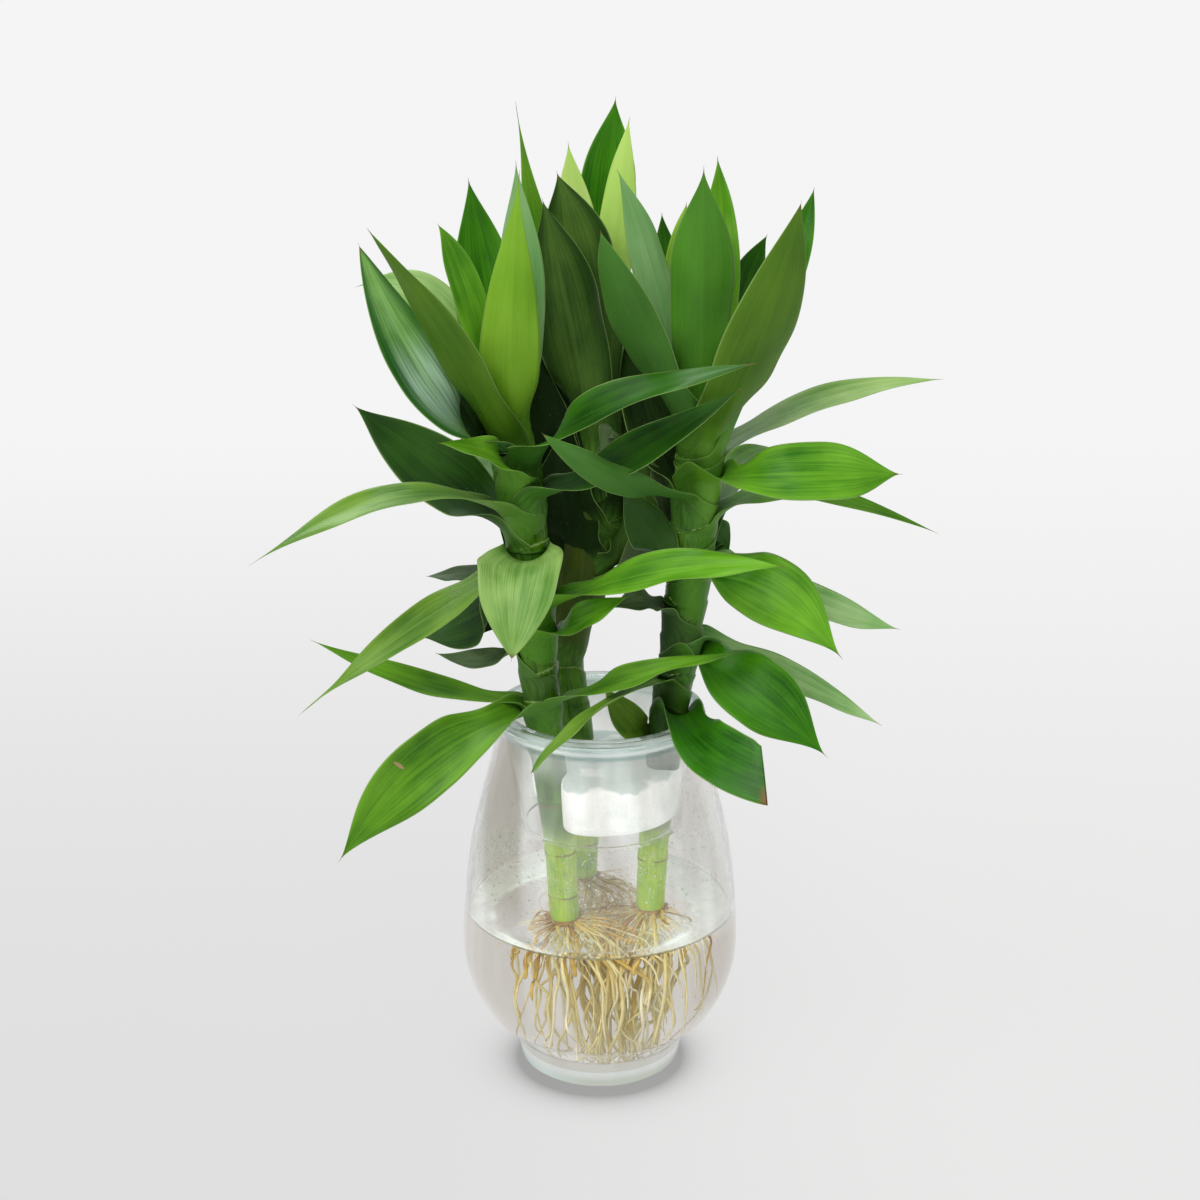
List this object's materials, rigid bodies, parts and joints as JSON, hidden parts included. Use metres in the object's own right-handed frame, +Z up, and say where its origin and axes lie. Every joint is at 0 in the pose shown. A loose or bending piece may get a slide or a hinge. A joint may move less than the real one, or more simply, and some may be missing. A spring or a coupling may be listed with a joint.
{
  "type": "lucky bamboo in a glass vase",
  "caption": "Leafy green bamboo-like canes held by a foam plug in a clear cup, rooted in water inside a pear-shaped glass vase.",
  "frame": {"origin": "centre of the vase's foot, on the surface it stands on", "axes": "+Z up along the vase's axis, -Y towards the side that the picture shows, +X to its right"},
  "size_m": [0.2554, 0.1652, 0.3801],
  "materials": {
    "glass": "clear, polished",
    "water": "clear water",
    "clear_plastic": "clear, glossy",
    "foam": "white open foam",
    "cane": "smooth, waxy, green",
    "root": "wet, pale yellow",
    "leaf": "waxy green with fine parallel veins"
  },
  "bodies": {
    "root": {"foam_plug": "foam", "leaf_back_black": "leaf", "leaf_back_blade": "leaf", "leaf_back_dark": "leaf", "leaf_back_slim": "leaf", "leaf_back_top": "leaf", "leaf_back_tuck": "leaf", "leaf_back_whip": "leaf", "leaf_left_arrow": "leaf", "leaf_left_bright": "leaf", "leaf_left_broad": "leaf", "leaf_left_dark": "leaf", "leaf_left_front": "leaf", "leaf_left_grey": "leaf", "leaf_left_long": "leaf", "leaf_left_low": "leaf", "leaf_left_olive": "leaf", "leaf_left_rear": "leaf", "leaf_left_scrap": "leaf", "leaf_left_shade": "leaf", "leaf_left_shield": "leaf", "leaf_left_shiny": "leaf", "leaf_left_thin": "leaf", "leaf_left_wavy": "leaf", "leaf_reach_bright": "leaf", "leaf_reach_grey": "leaf", "leaf_reach_high": "leaf", "leaf_reach_low": "leaf", "leaf_rear_left": "leaf", "leaf_rear_middle": "leaf", "leaf_rear_right": "leaf", "leaf_right_arch": "leaf", "leaf_right_arch_rear": "leaf", "leaf_right_blue": "leaf", "leaf_right_bright": "leaf", "leaf_right_corner": "leaf", "leaf_right_cross": "leaf", "leaf_right_fold": "leaf", "leaf_right_fold_rear": "leaf", "leaf_right_inner": "leaf", "leaf_right_mouth": "leaf", "leaf_right_olive": "leaf", "leaf_right_pale": "leaf", "leaf_right_slant": "leaf", "leaf_right_spear": "leaf", "leaf_right_stub": "leaf", "leaf_right_tall": "leaf", "leaf_right_torn": "leaf", "leaf_right_twist": "leaf", "leaf_right_under": "leaf", "planting_cup": "clear_plastic", "roots_back": "root", "roots_left": "root", "roots_right": "root", "stem_back": "cane", "stem_left": "cane", "stem_right": "cane", "vase": "glass", "water": "water"}
  },
  "joints": []
}
